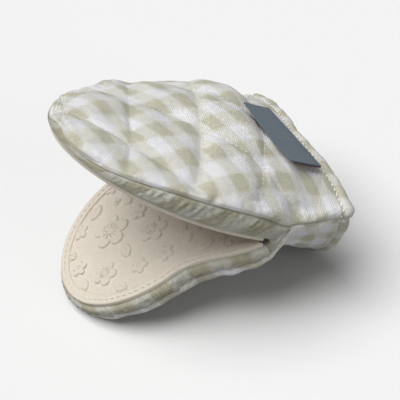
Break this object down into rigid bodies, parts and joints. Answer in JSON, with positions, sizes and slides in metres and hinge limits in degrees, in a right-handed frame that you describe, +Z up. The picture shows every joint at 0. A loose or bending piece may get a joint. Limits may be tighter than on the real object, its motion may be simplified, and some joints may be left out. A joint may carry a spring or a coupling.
{
  "type": "pot holder",
  "caption": "Padded pinch mitt with a finger jaw and a thumb jaw that close on a hot dish, each faced with a moulded silicone grip, and an open cuff for the hand.",
  "frame": {"origin": "on the standing surface, at the middle of the mitt's length and width", "axes": "+Z up; the cuff opens towards +X and both jaws point towards -X; Y runs across the jaws, along the axis of the fold between them"},
  "size_m": [0.1412, 0.1278, 0.1181],
  "materials": {
    "gingham_cotton": "quilted checked cotton canvas, sage on off-white",
    "palm_cotton": "unquilted checked cotton canvas",
    "lining_cotton": "plain cotton, unbleached",
    "wadding": "needled polyester wadding",
    "silicone": "moulded silicone, satin, beige",
    "woven_ribbon": "woven ribbon, dark slate blue"
  },
  "bodies": {
    "finger_jaw": {"finger_cover": "gingham_cotton", "finger_wadding": "wadding", "finger_lining": "lining_cotton", "finger_palm_cloth": "palm_cotton", "finger_palm_wadding": "wadding", "finger_palm_lining": "lining_cotton", "finger_grip": "silicone", "fold_cloth": "palm_cotton", "fold_wadding": "wadding", "fold_lining": "lining_cotton", "heel_cover": "gingham_cotton", "heel_wadding": "wadding", "heel_lining": "lining_cotton", "cuff_hem": "gingham_cotton"},
    "thumb_jaw": {"thumb_cover": "gingham_cotton", "thumb_wadding": "wadding", "thumb_lining": "lining_cotton", "thumb_palm_cloth": "palm_cotton", "thumb_palm_wadding": "wadding", "thumb_palm_lining": "lining_cotton", "thumb_grip": "silicone"},
    "label_flap": {"label": "woven_ribbon"}
  },
  "joints": [
    {"name": "jaw_fold", "type": "hinge", "parent": "finger_jaw", "child": "thumb_jaw", "pos_m": [0.01811, 0, 0.0565], "axis": [0, 1, 0], "range_deg": [-15, 44], "stiffness_Nm_per_rad": 0.05},
    {"name": "label_lift", "type": "hinge", "parent": "finger_jaw", "child": "label_flap", "pos_m": [0.05919, -0.01096, 0.07517], "axis": [-0.1438, 0.9782, 0.1495], "range_deg": [0, 100], "stiffness_Nm_per_rad": 0.0005}
  ]
}
